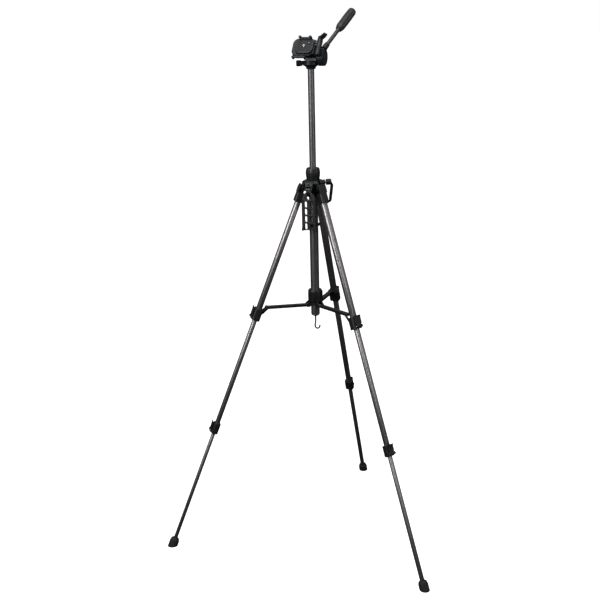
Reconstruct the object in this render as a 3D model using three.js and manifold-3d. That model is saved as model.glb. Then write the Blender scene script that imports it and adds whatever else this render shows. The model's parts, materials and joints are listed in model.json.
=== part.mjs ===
// A light photo tripod: three two-draw legs, a geared centre column and a pan and tilt head.
// Units are millimetres, +Z is up and the floor is z = 0.
import * as THREE from 'three';
import { mergeVertices } from 'three/addons/utils/BufferGeometryUtils.js';
import Module from 'manifold-3d';

const wasm = await Module();
wasm.setup();

// ---- driving dimensions ----
const GAP = 0.3;

// stance: each leg leaves its hinge at a fixed splay
const LEG_AZIMUTHS = [90, 210, 330];
const SPLAY_DEG = 21.5;
const HINGE_RADIUS = 30;
const HINGE_HEIGHT = 1106;
const LEG_LENGTH = HINGE_HEIGHT / Math.cos(SPLAY_DEG * Math.PI / 180);

// leg tubes are flattened: depth is radial, width is tangential; stations run down the leg
const UPPER_TUBE = { depth: 17, width: 20, wall: 1.2, from: 20.8, to: 400 };
const MIDDLE_TUBE = { depth: 13.8, width: 16.8, wall: 1.2, from: 352, to: 778 };
const LOWER_TUBE = { depth: 10.6, width: 13.6, wall: 1.1, from: 732, to: 1178 };
const UPPER_LOCK = { top: 381, bottom: 417, depth: 25, width: 31 };
const LOWER_LOCK = { top: 761, bottom: 793, depth: 21.4, width: 27 };
const LOCK_CORNER = 7;
const FOOT_TOP = 1160;
const FOOT_RADIUS = 14.5;

// hood at the top of each leg, with a hooked tongue over the hinge bolt
const HOOD = { depthIn: 10.3, depthOut: 13.6, width: 26, top: 15, bottom: 43, corner: 6 };
const TONGUE_THICKNESS = 9;
const HINGE_EYE_RADIUS = 8.3;
const BOLT_RADIUS = 2.5;
const HOOK_SLOT_WIDTH = 7.8;
const HOOK_SLOT_DEG = 38;

// fixed tube, shoulder and cap around the column axis
const GUIDE_TUBE = { radius: 13, wall: 1.2, bottom: 725, top: 1126 };
const SHOULDER = { bottom: 1080, top: 1128.5, radius: 25, skirtRadius: 18.5, capRadius: 33 };
const LUG_THICKNESS = 5;
const COLLAR = { radius: 21, bottom: 1129, top: 1163, bore: 13.7 };

// centre column with its rack; the crank pinion is an eight-tooth gear
const COLUMN = { radius: 9.5, wall: 1.3, bottom: 1060, top: 1452 };
const MODULE = 1.75;
const PINION_TEETH = 8;
const PINION_RADIUS = MODULE * PINION_TEETH / 2;
const RACK_TIP = 11.3;
const RACK_BACK = 5.4;
const RACK_WIDTH = 5;
const PINION_HALF_WIDTH = 2.4;
const RACK_FROM = 1102;
const RACK_TO = 1402;
const RACK_AZIMUTH = 120;
const CRANK_HEIGHT = 1117;
const CRANK_HUB = { from: 41, to: 56, radius: 9 };
const CRANK_ARM_LENGTH = 58;
const CRANK_TIP = CRANK_HUB.to - 3.3;

// spreader
const PIN_HEIGHT = 753;
const HUB = { radius: 21, bore: 13.4, bottom: 762, top: 800, pinRadius: 26 };
const ARM = { width: 13.5, height: 8, pin: 2.4, hole: 2.7 };
const EAR = { inset: 21, station: 371, radius: 4.8, thickness: 3, gap: 7.1 };

// carry handle hinged on the front of the shoulder
const CARRY = { radius: 38, pivot: 1106, halfWidth: 21.5, thickness: 7.5, bottom: 984, clipHeight: 9 };

// head: the tilt frame is turned forward about the side axis
const HEAD_AZIMUTH = 270;
const TILT_HEIGHT = 1474;
const TILT_DEG = 52.5;
const PAN_LOCK = { height: 1457.5, azimuth: 300, face: 28.2 };
const PLATFORM = { front: 24, back: -31, left: -42, right: 23, bottom: 36, top: 43, corner: 16 };
const PLATE = { front: 20, back: -28, left: -30, right: 21, bottom: 43.3, top: 50, corner: 13 };
const BARREL = { y: 32.5, z: 36, radius: 8, back: -31, front: 20 };
const FIN_TURN_DEG = 49;
const LEVER_PIVOT = { x: 27.7, y: -35 };
const DRUM = { radius: 25, inner: 25, outer: 42 };

// the pan handle leaves the tilt axle backwards, downwards and a little outwards
const HANDLE_DROP_DEG = 24.8;
const HANDLE_YAW_DEG = 7;
const HANDLE_RISE = 16;
const HANDLE_OFFSET = 34.5;
const GRIP = { from: 124, to: 227, radius: 13 };
const ROD_RADIUS = 5.6;

const rad = THREE.MathUtils.degToRad;

// ---- solids ----
function toSolid(geometry) {
  const bare = new THREE.BufferGeometry();
  bare.setAttribute('position', geometry.getAttribute('position').clone());
  if (geometry.index) bare.setIndex(geometry.index.clone());
  const merged = mergeVertices(bare, 1e-4);
  return new wasm.Manifold(new wasm.Mesh({
    numProp: 3,
    vertProperties: new Float32Array(merged.getAttribute('position').array),
    triVerts: new Uint32Array(merged.index.array),
  }));
}

function toGeometry(solid) {
  const mesh = solid.getMesh();
  const geometry = new THREE.BufferGeometry();
  geometry.setAttribute('position', new THREE.BufferAttribute(new Float32Array(mesh.vertProperties), 3));
  geometry.setIndex(new THREE.BufferAttribute(new Uint32Array(mesh.triVerts), 1));
  geometry.computeVertexNormals();
  return geometry;
}

function join(...geometries) {
  return geometries.map(toSolid).reduce((a, b) => a.add(b));
}

function cut(solid, ...geometries) {
  return geometries.map(toSolid).reduce((a, b) => a.subtract(b), solid);
}

// ---- shapes ----
function block(x0, x1, y0, y1, z0, z1) {
  const geometry = new THREE.BoxGeometry(x1 - x0, y1 - y0, z1 - z0);
  return geometry.translate((x0 + x1) / 2, (y0 + y1) / 2, (z0 + z1) / 2);
}

// a round bar along x, y or z from a to b
function bar(axis, radius, a, b, u = 0, v = 0, segments = 10) {
  const geometry = new THREE.CylinderGeometry(radius, radius, b - a, segments);
  if (axis === 'x') return geometry.rotateZ(-Math.PI / 2).translate((a + b) / 2, u, v);
  if (axis === 'y') return geometry.translate(u, (a + b) / 2, v);
  return geometry.rotateX(Math.PI / 2).translate(u, v, (a + b) / 2);
}

function lathe(profile, segments = 20) {
  const points = profile.map(([r, z]) => new THREE.Vector2(r, z));
  return new THREE.LatheGeometry(points, segments).rotateX(Math.PI / 2);
}

function ring(inner, outer, z0, z1, segments = 20) {
  return lathe([[inner, z0], [outer, z0], [outer, z1], [inner, z1], [inner, z0]], segments);
}

function roundedRectangle(x0, x1, y0, y1, r) {
  const shape = new THREE.Shape();
  shape.absarc(x1 - r, y0 + r, r, -Math.PI / 2, 0);
  shape.absarc(x1 - r, y1 - r, r, 0, Math.PI / 2);
  shape.absarc(x0 + r, y1 - r, r, Math.PI / 2, Math.PI);
  shape.absarc(x0 + r, y0 + r, r, Math.PI, Math.PI * 1.5);
  shape.closePath();
  return shape;
}

function outline(points) {
  return new THREE.Shape(points.map(([x, y]) => new THREE.Vector2(x, y)));
}

function prism(shape, z0, z1, curveSegments = 2) {
  const settings = { depth: z1 - z0, bevelEnabled: false, curveSegments };
  return new THREE.ExtrudeGeometry(shape, settings).translate(0, 0, z0);
}

// a plate whose outline lies in the x-z plane, from y0 to y1
function sidePlate(shape, y0, y1, curveSegments = 2) {
  return prism(shape, -y1, -y0, curveSegments).rotateX(Math.PI / 2);
}

// a flattened tube section, depth along x and width along y
function ovalShape(depth, width) {
  const r = depth * 0.42;
  return roundedRectangle(-depth / 2, depth / 2, -width / 2, width / 2, r);
}

function ovalBar(depth, width, from, to) {
  return prism(ovalShape(depth, width), -to, -from);
}

function turned(geometry, azimuth) {
  return geometry.rotateZ(rad(azimuth));
}

// ---- materials ----
function plastic(color, roughness = 0.55) {
  return new THREE.MeshStandardMaterial({ color, roughness, metalness: 0 });
}

function metal(color, roughness = 0.35) {
  return new THREE.MeshStandardMaterial({ color, roughness, metalness: 1 });
}

const blackPlastic = () => plastic(0x1c2022);
const headPlastic = () => plastic(0x20252a, 0.45);
const anodised = () => metal(0x6c686c);
const steel = () => metal(0x9a9894, 0.3);
const rubber = () => plastic(0x161616, 0.85);

function place(parent, name, shape, material) {
  const geometry = shape instanceof THREE.BufferGeometry ? toGeometry(toSolid(shape)) : toGeometry(shape);
  const mesh = new THREE.Mesh(geometry, material);
  mesh.name = name;
  parent.add(mesh);
  return mesh;
}

// ---- shoulder and fixed column parts ----
const pinionCentre = RACK_TIP - MODULE + PINION_RADIUS;

// everything on the crank shaft is built along +x, then turned to the crank's azimuth
function onCrankAxis(geometry) {
  return turned(geometry.translate(0, pinionCentre, CRANK_HEIGHT), RACK_AZIMUTH - 90);
}

function shoulderBody() {
  const { bottom, top, radius, skirtRadius, capRadius } = SHOULDER;
  const core = lathe([
    [0, bottom], [skirtRadius, bottom], [skirtRadius, 1091], [21, 1094], [radius, 1108],
    [radius, 1117], [capRadius - 3, 1118], [capRadius, 1120.5], [capRadius - 2, 1124], [capRadius - 9, top],
    [0, top],
  ], 24);
  const solids = [core];
  const inner = TONGUE_THICKNESS / 2 + 0.4;
  for (const azimuth of LEG_AZIMUTHS) {
    for (const side of [-1, 1]) {
      const near = side > 0 ? inner : -inner - LUG_THICKNESS;
      const far = near + LUG_THICKNESS;
      const web = outline([[14, 1097.7], [HINGE_RADIUS, 1097.7], [HINGE_RADIUS + 6, 1112],
        [HINGE_RADIUS, 1119], [14, 1124]]);
      solids.push(turned(sidePlate(web, near, far), azimuth));
      solids.push(turned(bar('y', HINGE_EYE_RADIUS, near, far, HINGE_RADIUS, HINGE_HEIGHT, 10), azimuth));
    }
  }
  // front boss over the carry handle hinge, with two small ears
  const boss = outline([[12, 1110.5], [34, 1110.5], [37, 1114], [36, 1123], [30, 1127], [12, 1127]]);
  solids.push(turned(sidePlate(boss, -11, 11), 270));
  for (const side of [-1, 1]) {
    const y0 = side > 0 ? 8.3 : -11;
    solids.push(turned(block(33, 41.8, y0, y0 + 2.7, 1102, 1114), 270));
  }
  // bearing boss of the crank shaft
  solids.push(onCrankAxis(bar('x', 7.5, 0, 38)));
  // seat of the bubble level
  solids.push(turned(bar('z', 8, 1111.2, 1125, 21, 0, 16), 185));
  let body = join(...solids);
  const tubeBore = bar('z', GUIDE_TUBE.radius + GAP, bottom - 5, top + 5, 0, 0, 24);
  body = cut(body, tubeBore);
  for (const azimuth of LEG_AZIMUTHS) {
    body = cut(body, turned(bar('y', BOLT_RADIUS + GAP, -14, 14, HINGE_RADIUS, HINGE_HEIGHT), azimuth));
    body = cut(body, turned(block(20.5, 45, -inner, inner, 1090, 1128), azimuth));
  }
  const gearPocket = bar('x', PINION_RADIUS + MODULE + 0.5, -4, 4, 0, 0, 16);
  const shaftBore = bar('x', 3.4, 0, 40, 0, 0, 10);
  const levelPocket = turned(bar('z', 6.3, 1118, 1130, 21, 0, 16), 185);
  const handlePin = turned(bar('y', 2.1, -12, 12, CARRY.radius, CARRY.pivot, 10), 270);
  const screwPocket = turned(bar('x', 2.6, 33, 40, 0, 1118.5, 8), 270);
  return cut(body, onCrankAxis(gearPocket), onCrankAxis(shaftBore), levelPocket, handlePin, screwPocket);
}

function guideTube() {
  const { radius, wall, bottom, top } = GUIDE_TUBE;
  const tube = join(ring(radius - wall, radius, bottom, top, 24));
  const window = block(-5.5, 5.5, 8, 16, CRANK_HEIGHT - 8, top + 2);
  return cut(tube, turned(window, RACK_AZIMUTH - 90));
}

function endCap() {
  const inside = GUIDE_TUBE.radius - GUIDE_TUBE.wall - GAP;
  const { bottom } = GUIDE_TUBE;
  return lathe([
    [2.9, bottom - 6.5], [8, bottom - 6.2], [11.6, bottom - 4], [13, bottom - GAP],
    [inside, bottom - GAP], [inside, bottom + 10], [7.2, bottom + 10], [7.2, bottom - 1],
    [2.9, bottom - 1], [2.9, bottom - 6.5],
  ]);
}

// the hook hangs on its head inside the cap; its bend opens sideways
function weightHook() {
  const stemTop = GUIDE_TUBE.bottom - 0.7;
  const wire = 2.3;
  const bend = 7.4;
  const low = stemTop - 38.5;
  const sweep = new THREE.CatmullRomCurve3([
    new THREE.Vector3(0, 0, low + 12),
    new THREE.Vector3(-1.8, 0, low + 6),
    new THREE.Vector3(-2, 0, low),
    ...[0.28, 0.56, 0.84].map((share) => new THREE.Vector3(
      bend - 2 - bend * Math.cos(Math.PI * share), 0, low - bend * Math.sin(Math.PI * share))),
    new THREE.Vector3(2 * bend - 1.4, 0, low + 3),
  ]);
  const circle = new THREE.Shape().absarc(0, 0, wire, 0, Math.PI * 2);
  const swept = new THREE.ExtrudeGeometry(circle, { extrudePath: sweep, steps: 18, curveSegments: 4 });
  const stem = bar('z', wire, low + 11.8, stemTop + 1, 0, 0, 8);
  const head = bar('z', 5.2, stemTop, stemTop + 2.5, 0, 0, 10);
  return join(swept, stem, head);
}

// ---- spreader ----
function spreaderHub() {
  const { radius, bore, bottom, top, pinRadius } = HUB;
  const body = lathe([
    [0, bottom], [19, bottom], [radius, bottom + 4], [radius + 0.6, (bottom + top) / 2],
    [radius, top - 4], [19.4, top], [0, top],
  ], 24);
  const solids = [body];
  const ear = outline([[12, bottom + 6], [12, bottom - 6], [17, PIN_HEIGHT - 4.6], [pinRadius, PIN_HEIGHT - 4.6],
    [pinRadius + 4.6, PIN_HEIGHT], [pinRadius + 2.6, PIN_HEIGHT + 4.2], [20, bottom + 3], [20, bottom + 6]]);
  solids.push(bar('z', 17, bottom - 8, bottom + 1, 0, 0, 24));
  for (const azimuth of LEG_AZIMUTHS) {
    for (const side of [-1, 1]) {
      const y0 = side > 0 ? EAR.gap : -EAR.gap - EAR.thickness;
      solids.push(turned(sidePlate(ear, y0, y0 + EAR.thickness), azimuth));
    }
  }
  let hub = join(...solids);
  hub = cut(hub, bar('z', bore, bottom - 20, top + 5, 0, 0, 24));
  for (const azimuth of LEG_AZIMUTHS) {
    hub = cut(hub, turned(bar('y', ARM.hole, -12, 12, pinRadius, PIN_HEIGHT, 8), azimuth));
    hub = cut(hub, turned(block(17.6, 40, -EAR.gap, EAR.gap, PIN_HEIGHT - 10, bottom - 0.1), azimuth));
  }
  return hub;
}

const earPin = {
  radius: HINGE_RADIUS + EAR.station * Math.sin(rad(SPLAY_DEG)) - EAR.inset * Math.cos(rad(SPLAY_DEG)),
  height: HINGE_HEIGHT - EAR.station * Math.cos(rad(SPLAY_DEG)) - EAR.inset * Math.sin(rad(SPLAY_DEG)),
};

// built along +x between its two pins, at the rest slope
function spreaderArm() {
  const length = Math.hypot(earPin.radius - HUB.pinRadius, earPin.height - PIN_HEIGHT);
  const half = ARM.width / 2;
  const end = 4.2;
  const beam = roundedRectangle(-end, length + end, -ARM.height / 2, ARM.height / 2, ARM.height / 2 - 0.01);
  const solids = [sidePlate(beam, -half, half, 4)];
  for (const x of [0, length]) solids.push(bar('y', ARM.pin, -half - 2.9, half + 2.9, x, 0, 8));
  const channel = block(12, length - 12, -half + 2.4, half - 2.4, -ARM.height, -ARM.height / 2 + 4.6);
  return cut(join(...solids), channel);
}

// ---- legs, in a frame with its origin on the hinge and the leg along -z ----
function legHood() {
  const { depthIn, depthOut, width, top, bottom, corner } = HOOD;
  const half = width / 2;
  const sleeve = prism(roundedRectangle(-depthIn, depthOut, -half, half, corner), -bottom, -top);
  const shell = outline([[9.6, -top - 1], [depthOut, -top - 1], [depthOut + 0.6, -4], [depthOut - 0.6, 6],
    [11.5, 9.6], [9.6, 9.6]]);
  const tongue = block(-6, 8.3, -TONGUE_THICKNESS / 2, TONGUE_THICKNESS / 2, -top - 1, 0);
  const eye = bar('y', HINGE_EYE_RADIUS, -TONGUE_THICKNESS / 2, TONGUE_THICKNESS / 2);
  const body = join(sleeve, sidePlate(shell, -half, half), tongue, eye);
  const pocket = ovalBar(UPPER_TUBE.depth + 2 * GAP, UPPER_TUBE.width + 2 * GAP, UPPER_TUBE.from - GAP, bottom + 2);
  const slotBase = bar('y', HOOK_SLOT_WIDTH / 2, -8, 8);
  const slot = block(-HOOK_SLOT_WIDTH / 2, HOOK_SLOT_WIDTH / 2, -8, 8, 0, 24).rotateY(-rad(HOOK_SLOT_DEG));
  return cut(body, pocket, slotBase, slot);
}

function ovalTube({ depth, width, wall, from, to }) {
  const shape = ovalShape(depth, width);
  shape.holes.push(ovalShape(depth - 2 * wall, width - 2 * wall));
  return prism(shape, -to, -from);
}

function leverPivot(lock) {
  return { x: lock.depth / 2 + 3.8, z: -lock.bottom + 7 };
}

function legLock(lock, above, below, ears) {
  const halfDepth = lock.depth / 2;
  const halfWidth = lock.width / 2;
  const sleeve = roundedRectangle(-halfDepth, halfDepth, -halfWidth, halfWidth, LOCK_CORNER);
  const solids = [prism(sleeve, -lock.bottom, -lock.top)];
  const pivot = leverPivot(lock);
  const cheek = outline([[halfDepth - 4, pivot.z - 5], [pivot.x, pivot.z - 4], [pivot.x + 4, pivot.z],
    [pivot.x, pivot.z + 4], [halfDepth - 4, pivot.z + 8]]);
  for (const side of [-1, 1]) {
    const y0 = side > 0 ? 8.5 : -11.5;
    solids.push(sidePlate(cheek, y0, y0 + 3));
    if (ears) {
      const e0 = side > 0 ? EAR.gap : -EAR.gap - EAR.thickness;
      const lug = outline([[-10, -lock.top - 3], [-10, -lock.top - 15], [-15, -lock.top - 11],
        [-EAR.inset - 4.8, -EAR.station - 1], [-EAR.inset + 1, -EAR.station + 4.8], [-12.5, -lock.top - 1]]);
      solids.push(sidePlate(lug, e0, e0 + EAR.thickness));
      solids.push(bar('y', EAR.radius, e0, e0 + EAR.thickness, -EAR.inset, -EAR.station, 8));
    }
  }
  const upperBore = ovalBar(above.depth + 2 * GAP, above.width + 2 * GAP, lock.top - 2, above.to + GAP);
  const lowerBore = ovalBar(below.depth + 2 * GAP, below.width + 2 * GAP, lock.top, lock.bottom + 2);
  const pinHole = bar('y', 2.1, -14, 14, pivot.x, pivot.z, 8);
  let body = cut(join(...solids), upperBore, lowerBore, pinHole);
  if (ears) body = cut(body, bar('y', ARM.hole, -12, 12, -EAR.inset, -EAR.station, 8));
  return body;
}

// the lever closes against the outer face and its finger tip stands out at the top
function lockLever(lock) {
  const pivot = leverPivot(lock);
  const face = lock.depth / 2 + 0.5;
  const top = -lock.top;
  const paddle = outline([[face, pivot.z + 7], [face, top - 2], [face + 2, top + 1.2], [face + 5.6, top + 3.2],
    [face + 6.4, top + 1.6], [face + 4.4, top - 3.5], [face + 4, pivot.z + 7]]);
  const root = outline([[face, pivot.z], [face, pivot.z + 8], [face + 4, pivot.z + 8], [pivot.x + 3.6, pivot.z]]);
  const half = lock.width / 2 - 4;
  return join(
    sidePlate(paddle, -half, half), sidePlate(root, -8.1, 8.1),
    bar('y', 3.2, -8.1, 8.1, pivot.x, pivot.z, 8), bar('y', 1.8, -11, 11, pivot.x, pivot.z, 8),
  );
}

function rubberFoot() {
  const end = LEG_LENGTH + 12;
  const profile = [
    [0, -end], [FOOT_RADIUS, -end], [FOOT_RADIUS, -FOOT_TOP - 11], [FOOT_RADIUS - 2, -FOOT_TOP - 3],
    [FOOT_RADIUS - 5.6, -FOOT_TOP], [0, -FOOT_TOP],
  ];
  const body = toSolid(lathe(profile, 24));
  const socket = ovalBar(LOWER_TUBE.depth + 2 * GAP, LOWER_TUBE.width + 2 * GAP, FOOT_TOP - 5, LOWER_TUBE.to + GAP);
  const floor = block(-60, 60, -60, 60, -60, 0).rotateY(rad(SPLAY_DEG)).translate(0, 0, -LEG_LENGTH);
  return cut(body, socket, floor);
}

// ---- centre column and crank ----
function centreColumn() {
  const { radius, wall, bottom, top } = COLUMN;
  const tube = join(ring(radius - wall, radius, bottom, top, 24));
  const slot = block(-RACK_WIDTH / 2 - GAP, RACK_WIDTH / 2 + GAP, 4, 12, RACK_FROM - GAP, RACK_TO + GAP);
  return cut(tube, turned(slot, RACK_AZIMUTH - 90));
}

// teeth point along +y; the outline runs in the y-z plane
function columnRack() {
  const pitch = Math.PI * MODULE;
  const root = RACK_TIP - 2.3 * MODULE;
  const points = [[RACK_BACK, RACK_FROM], [root, RACK_FROM]];
  const first = Math.ceil((RACK_FROM - CRANK_HEIGHT + 3) / pitch);
  const last = Math.floor((RACK_TO - CRANK_HEIGHT - 3) / pitch);
  for (let tooth = first; tooth <= last; tooth += 1) {
    const z = CRANK_HEIGHT + tooth * pitch;
    points.push([root, z - 0.34 * pitch], [RACK_TIP, z - 0.11 * pitch]);
    points.push([RACK_TIP, z + 0.11 * pitch], [root, z + 0.34 * pitch]);
  }
  points.push([root, RACK_TO], [RACK_BACK, RACK_TO]);
  const half = RACK_WIDTH / 2;
  const strip = sidePlate(outline(points), -half, half).rotateZ(Math.PI / 2);
  return turned(strip, RACK_AZIMUTH - 90);
}

function pinionShaft() {
  const points = [];
  const tip = PINION_RADIUS + MODULE * 0.9;
  const root = PINION_RADIUS - MODULE * 1.3;
  const step = 2 * Math.PI / PINION_TEETH;
  for (let tooth = 0; tooth < PINION_TEETH; tooth += 1) {
    // a gap between teeth faces the rack at rest
    const centre = (tooth + 0.5) * step;
    for (const [radius, share] of [[root, -0.29], [tip, -0.1], [tip, 0.1], [root, 0.29]]) {
      const angle = centre + share * step;
      points.push([-radius * Math.cos(angle), radius * Math.sin(angle)]);
    }
  }
  const gear = prism(outline(points.reverse()), -PINION_HALF_WIDTH, PINION_HALF_WIDTH).rotateY(Math.PI / 2);
  // outline x becomes -z and outline y stays y, so the gap that faces the rack is turned to -y
  gear.rotateX(Math.PI / 2);
  const shaft = bar('x', 3, -PINION_HALF_WIDTH, CRANK_HUB.from + 6, 0, 0, 10);
  return onCrankAxisSolid(join(gear, shaft));
}

function onCrankAxisSolid(solid) {
  return toSolid(onCrankAxis(toGeometry(solid)));
}

function crankArm() {
  const { from, to, radius } = CRANK_HUB;
  const hub = bar('x', radius, from, to, 0, 0, 24);
  const low = -CRANK_ARM_LENGTH;
  const tip = CRANK_TIP;
  const arm = outline([[to - 6, 2], [to, 2], [to + 6, -9], [tip + 4.2, low + 8], [tip + 2.8, low + 3],
    [tip - 2.8, low + 3], [tip - 3, low + 10], [to - 1.4, -10]]);
  const fork = outline([[tip - 2.9, low + 7], [tip + 3.2, low + 7], [tip + 2, low], [tip - 2, low]]);
  const bore = bar('x', 3.3, from - 2, from + 6.5, 0, 0, 10);
  const body = join(hub, sidePlate(arm, -5.4, 5.4), sidePlate(fork, -5.4, 5.4));
  const notch = block(tip - 6, tip + 6, -3.3, 3.3, low - 2, low + 7.6);
  const pinHole = bar('y', 1.7, -6, 6, tip, low + 3, 10);
  return onCrankAxisSolid(cut(body, bore, notch, pinHole));
}

// small folding finger grip at the end of the crank arm, folded inwards
function crankGrip() {
  const low = -CRANK_ARM_LENGTH;
  const tip = CRANK_TIP;
  const tab = outline([[tip + 2.2, low + 5], [tip + 2.2, low + 0.6], [tip - 12, low - 7.6], [tip - 15, low - 4],
    [tip - 5, low + 4]]);
  return onCrankAxisSolid(join(sidePlate(tab, -3, 3), bar('y', 1.4, -5.4, 5.4, tip, low + 3, 10)));
}

function columnCollar() {
  const { radius, bottom, top, bore } = COLLAR;
  const body = toSolid(lathe([
    [0, bottom], [radius - 2.5, bottom], [radius - 0.6, bottom + 8], [radius, bottom + 20],
    [radius - 1.6, top - 5], [radius - 5, top], [0, top],
  ], 24));
  const cuts = [bar('z', bore, bottom - 5, top + 5, 0, 0, 24)];
  for (let lobe = 0; lobe < 6; lobe += 1) {
    cuts.push(turned(bar('z', 2.4, bottom + 3, top + 5, radius + 0.9, 0, 10), 15 + 60 * lobe));
  }
  return cut(body, ...cuts);
}

function columnBushing() {
  const sleeve = join(ring(COLUMN.radius + GAP, COLLAR.bore - 0.4, GUIDE_TUBE.top + GAP, COLLAR.top - 5, 24));
  const keyway = block(-3.2, 3.2, 6, 16, GUIDE_TUBE.top - 2, COLLAR.top + 2);
  return cut(sleeve, turned(keyway, RACK_AZIMUTH - 90));
}

// ---- carry handle, built in the x-z plane facing -y ----
function carryHandle() {
  const { radius, pivot, halfWidth, thickness, bottom, clipHeight } = CARRY;
  const shape = new THREE.Shape();
  shape.moveTo(-halfWidth - 1.5, bottom);
  shape.quadraticCurveTo(0, bottom + 7, halfWidth + 1.5, bottom);
  shape.lineTo(halfWidth, bottom + 14);
  shape.lineTo(halfWidth, pivot - 30);
  shape.quadraticCurveTo(halfWidth - 1, pivot - 18, 7.6, pivot - 8);
  shape.lineTo(7.6, pivot);
  shape.lineTo(-7.6, pivot);
  shape.lineTo(-7.6, pivot - 8);
  shape.quadraticCurveTo(-halfWidth + 1, pivot - 18, -halfWidth, pivot - 30);
  shape.lineTo(-halfWidth, bottom + 14);
  shape.closePath();
  const teardrop = new THREE.Path();
  teardrop.absarc(0, pivot - 24, 6, -Math.PI, 0);
  teardrop.lineTo(3, pivot - 10);
  teardrop.lineTo(-3, pivot - 10);
  teardrop.closePath();
  shape.holes.push(teardrop);
  const pitch = 21.4;
  for (let row = 0; row < 4; row += 1) {
    for (const side of [-1, 1]) {
      const x = side * 9.2;
      const z = pivot - 43.6 - row * pitch;
      shape.holes.push(roundedRectangle(x - 3.8, x + 3.8, z - 8.8, z + 8.8, 3.7));
    }
  }
  const front = -radius - thickness / 2;
  const plate = sidePlate(shape, front, front + thickness, 2);
  const barrel = bar('x', 4.2, -8, 8, -radius, pivot);
  const pin = bar('x', 1.8, -10.8, 10.8, -radius, pivot, 8);
  // clip around the guide tube, open towards the back so that the handle can swing forward
  const z0 = bottom + 9;
  const grip = GUIDE_TUBE.radius + 0.4;
  const clip = join(
    bar('z', grip + 3.2, z0, z0 + clipHeight, 0, 0, 24),
    block(-grip - 3.2, grip + 3.2, 0, 6, z0, z0 + clipHeight),
    block(-5, 5, front + 3, -grip, z0, z0 + clipHeight),
  );
  const clear = [bar('z', grip, z0 - 1, z0 + 20, 0, 0, 24), block(-grip, grip, 0, 20, z0 - 1, z0 + 20)];
  return join(plate, barrel, pin).add(cut(clip, ...clear));
}

// ---- head ----
function panBase() {
  const profile = [
    [0, 1463], [0, 1452.6], [COLUMN.radius + GAP, 1452.6], [COLUMN.radius + GAP, 1441], [13, 1441],
    [14.5, 1447], [23, 1452], [24, 1454], [24, 1457.6], [5.5, 1457.6], [5.5, 1463], [0, 1463],
  ];
  return lathe(profile, 24);
}

// head parts below are built with +x as the lens direction and +y as the handle side
function panBody() {
  const disc = bar('z', 22, 1458, 1464, 0, 0, 24);
  const upright = block(-13, 13, -13, 23, 1463, TILT_HEIGHT);
  const crown = bar('y', 13, -13, 23, 0, TILT_HEIGHT, 18);
  const stub = bar('z', 5.9, 1450, 1463.4, 0, 0, 14);
  const axle = bar('y', 4.8, -20, 30, 0, TILT_HEIGHT, 14);
  const trimmed = cut(join(disc, upright, crown), stub, axle);
  // the upright stays inside the disc
  const keep = toSolid(bar('z', 24, 1450, 1500, 0, 0, 24));
  // a lug hangs over the rim of the pan base and carries the pan lock
  const { face, height, azimuth } = PAN_LOCK;
  const bracket = turned(block(18, face, -6, 6, 1458.3, 1464), azimuth);
  const lug = turned(block(24.6, face, -6, 6, height - 7.5, 1464), azimuth);
  const lockBore = turned(bar('x', 2.9, 22, face + 2, 0, height, 10), azimuth);
  return cut(trimmed.intersect(keep).add(cut(join(bracket, lug), stub)), lockBore);
}

function panLockKnob() {
  const { face } = PAN_LOCK;
  const knob = join(bar('x', 8.5, face + GAP, 41, 0, 0, 18), bar('x', 2.6, 24.9, face + 2, 0, 0, 8));
  return toSolid(turned(toGeometry(knob).translate(0, 0, PAN_LOCK.height), PAN_LOCK.azimuth));
}

function tiltAxle() {
  return bar('y', 4.5, -18.8, 26, 0, 0, 14);
}

// parts in the tilt frame: x forward along the platform, z normal to it, origin on the tilt axis
function tiltHead() {
  const drum = bar('y', DRUM.radius, DRUM.inner, DRUM.outer, 0, 0, 24);
  const neck = block(-14, 14, -19, 34, 16, 35.6);
  const rightWall = block(-14, 14, DRUM.inner, 34, 0, 30);
  const cheek = block(-8.5, 8.5, -19, -14, 0, 18);
  const cheekEye = bar('y', 8.5, -19, -14);
  const hinge = bar('x', BARREL.radius, BARREL.back, BARREL.front, BARREL.y, BARREL.z, 14);
  const bridge = block(-14, 14, 18, BARREL.y, 28, 35.6);
  const boss = turnedHandle(bar('x', 8.6, 14, 34));
  const body = join(drum, neck, rightWall, cheek, cheekEye, hinge, bridge, boss);
  const axle = bar('y', 4.8, -20, 26.4, 0, 0, 14);
  const rodBore = turnedHandle(bar('x', ROD_RADIUS + GAP, 16, 60, 0, 0, 16));
  return cut(body, axle, rodBore);
}

// lays a piece built along +x on the line of the pan handle
function turnedHandle(geometry) {
  geometry.translate(0, 0, -HANDLE_RISE);
  geometry.rotateY(Math.PI - rad(HANDLE_DROP_DEG)).rotateZ(-rad(HANDLE_YAW_DEG));
  return geometry.translate(0, HANDLE_OFFSET, 0);
}

function platform() {
  const { front, back, left, right, bottom, top, corner } = PLATFORM;
  const tray = prism(roundedRectangle(back, front, left, right, corner), bottom, top, 4);
  const belly = prism(roundedRectangle(back + 8, front - 5, left + 7, right - 8, 8), bottom - 5, bottom + 1);
  const knuckle = block(back + 4, front - 6, right - 4, right + 0.6, bottom, top);
  const well = bar('z', 9.4, bottom + 2, top + 1, -1, (PLATE.left + PLATE.right) / 2, 16);
  const neckRoom = block(-15, 15, -21, 30, bottom - 8, bottom - 0.1);
  const leverSeat = join(
    block(front - 12, LEVER_PIVOT.x, LEVER_PIVOT.y - 4, LEVER_PIVOT.y + 4, bottom - 3, bottom + 0.5),
    bar('z', 4, bottom - 3, bottom + 0.5, LEVER_PIVOT.x, LEVER_PIVOT.y, 14),
  );
  return cut(join(tray, belly, knuckle).add(leverSeat), well, neckRoom);
}

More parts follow.
